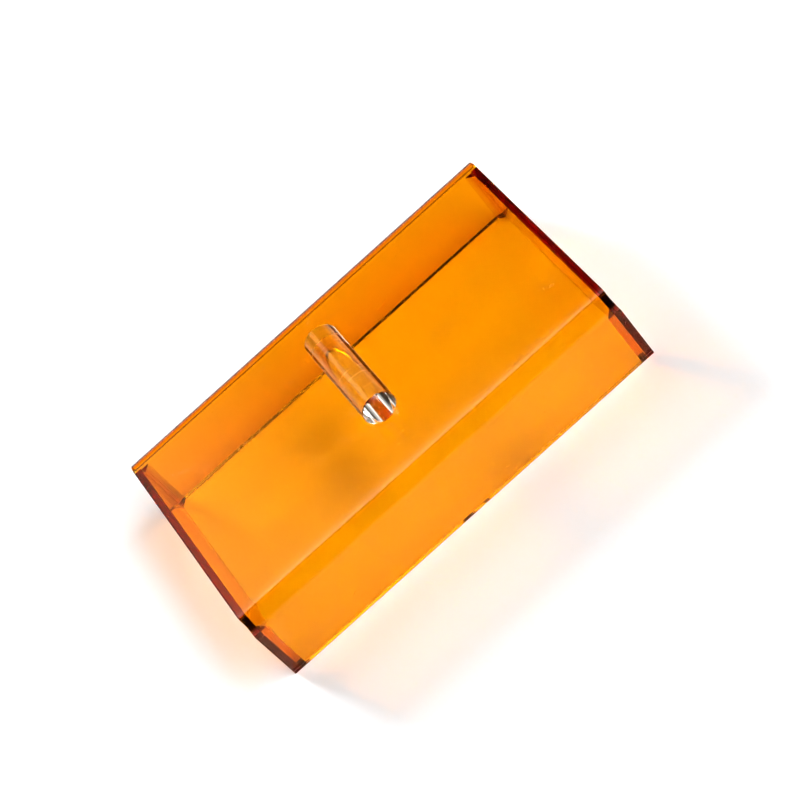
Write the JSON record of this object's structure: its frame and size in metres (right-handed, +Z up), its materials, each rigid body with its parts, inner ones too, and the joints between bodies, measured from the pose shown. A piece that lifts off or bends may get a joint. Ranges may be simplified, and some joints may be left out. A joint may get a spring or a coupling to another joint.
{
  "type": "resin wash station lid",
  "caption": "Shallow see-through orange box lid, open underneath, with line-bent long edges, inset end plates and a clear rod handle lying across the top.",
  "frame": {"origin": "middle of the rim that the lid rests on, at the bottom of the part", "axes": "+X along the long side towards the right end plate, +Y from the front wall to the rear wall, +Z up, out of the top panel through the handle"},
  "size_m": [0.19, 0.119, 0.0531],
  "materials": {
    "orange_acrylic": "polished transparent orange acrylic",
    "clear_acrylic": "polished clear acrylic rod",
    "acrylic_cement": "clear solvent cement"
  },
  "bodies": {
    "root": {"cover_sheet": "orange_acrylic", "left_end_plate": "orange_acrylic", "right_end_plate": "orange_acrylic", "front_left_corner_strip": "orange_acrylic", "front_right_corner_strip": "orange_acrylic", "rear_left_corner_strip": "orange_acrylic", "rear_right_corner_strip": "orange_acrylic", "handle_rod": "clear_acrylic", "handle_cement": "acrylic_cement"}
  },
  "joints": []
}
